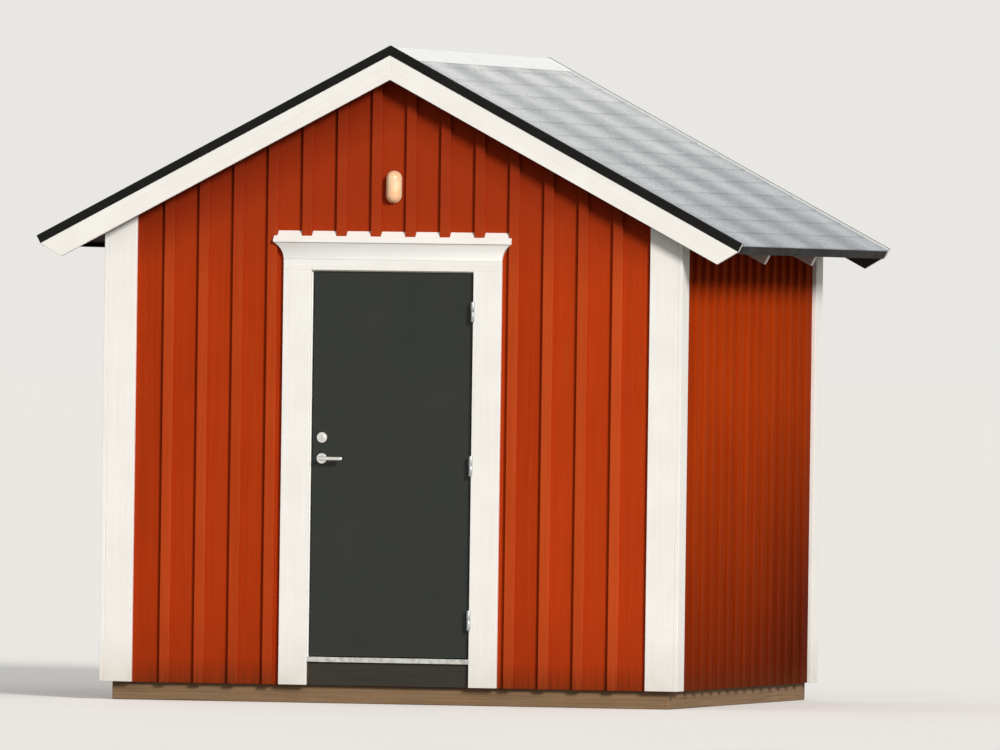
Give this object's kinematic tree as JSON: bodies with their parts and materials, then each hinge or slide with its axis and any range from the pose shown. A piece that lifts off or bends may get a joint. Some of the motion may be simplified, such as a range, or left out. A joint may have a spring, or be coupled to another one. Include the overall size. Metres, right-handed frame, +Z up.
{
  "type": "boathouse",
  "caption": "Small waterside timber hut with upright red boards, white trim, a shingled gable roof and a crowned doorway with an outward-opening door.",
  "frame": {"origin": "middle of the plan, at the underside of the base beams", "axes": "+X to the right along the front, +Y from the front to the back, +Z up"},
  "size_m": [3.66, 3.204, 3.3036],
  "materials": {
    "base_timber": "weathered sawn timber",
    "floor_timber": "dark sawn timber",
    "floor_boards": "planed boards",
    "red_boards": "matt red distemper paint on sawn boards",
    "white_trim": "satin white paint on planed boards",
    "roof_timber": "planed spruce",
    "roof_boards": "sawn boards",
    "shingles": "mineral-surfaced bitumen shingles",
    "black_metal": "satin black coated sheet",
    "pale_metal": "pale grey coated sheet",
    "door_paint": "satin dark green-grey paint",
    "sill_metal": "satin",
    "steel_fittings": "brushed",
    "lamp_base": "gloss",
    "lamp_glass": "opal glass"
  },
  "bodies": {
    "hut": {"base_front": "base_timber", "base_back": "base_timber", "base_left": "base_timber", "base_right": "base_timber", "floor_rims": "floor_timber", "floor_joists": "floor_timber", "threshold_board": "floor_timber", "floor_boards": "floor_boards", "front_wall_left": "red_boards", "front_wall_right": "red_boards", "front_gable": "red_boards", "back_wall": "red_boards", "left_wall": "red_boards", "right_wall": "red_boards", "corner_boards_front_left": "white_trim", "corner_boards_front_right": "white_trim", "corner_boards_back_left": "white_trim", "corner_boards_back_right": "white_trim", "ridge_beam": "roof_timber", "rafter_front_left": "roof_timber", "rafter_front_right": "roof_timber", "rafter_back_left": "roof_timber", "rafter_back_right": "roof_timber", "roof_boards_left": "roof_boards", "roof_boards_right": "roof_boards", "shingles_left": "shingles", "shingles_right": "shingles", "ridge_cap": "pale_metal", "bargeboard_front_left": "white_trim", "bargeboard_front_right": "white_trim", "bargeboard_back_left": "white_trim", "bargeboard_back_right": "white_trim", "barge_flashing_front": "black_metal", "barge_flashing_back": "black_metal", "eave_edge_left": "black_metal", "eave_edge_right": "black_metal", "door_jamb_left": "white_trim", "door_jamb_right": "white_trim", "door_head": "white_trim", "door_sill": "sill_metal", "casing_left": "white_trim", "casing_right": "white_trim", "casing_head": "white_trim", "crown_moulding": "white_trim", "crown_cap": "white_trim", "hinges_frame_side": "steel_fittings", "lamp_base": "lamp_base", "lamp_glass": "lamp_glass"},
    "door": {"door_leaf": "door_paint", "hinges_leaf_side": "steel_fittings", "lock": "steel_fittings", "handle_plates": "steel_fittings"},
    "handle": {"lever_handle": "steel_fittings"}
  },
  "joints": [
    {"name": "door_hinge", "type": "hinge", "parent": "hut", "child": "door", "pos_m": [0.422, -1.51, 1.2005], "axis": [0, 0, 1], "range_deg": [0, 110]},
    {"name": "handle_turn", "type": "hinge", "parent": "door", "child": "handle", "pos_m": [-0.358, -1.478, 1.229], "axis": [0, 1, 0], "range_deg": [0, 45], "stiffness_Nm_per_rad": 1.5, "springref_deg": -22.92}
  ]
}
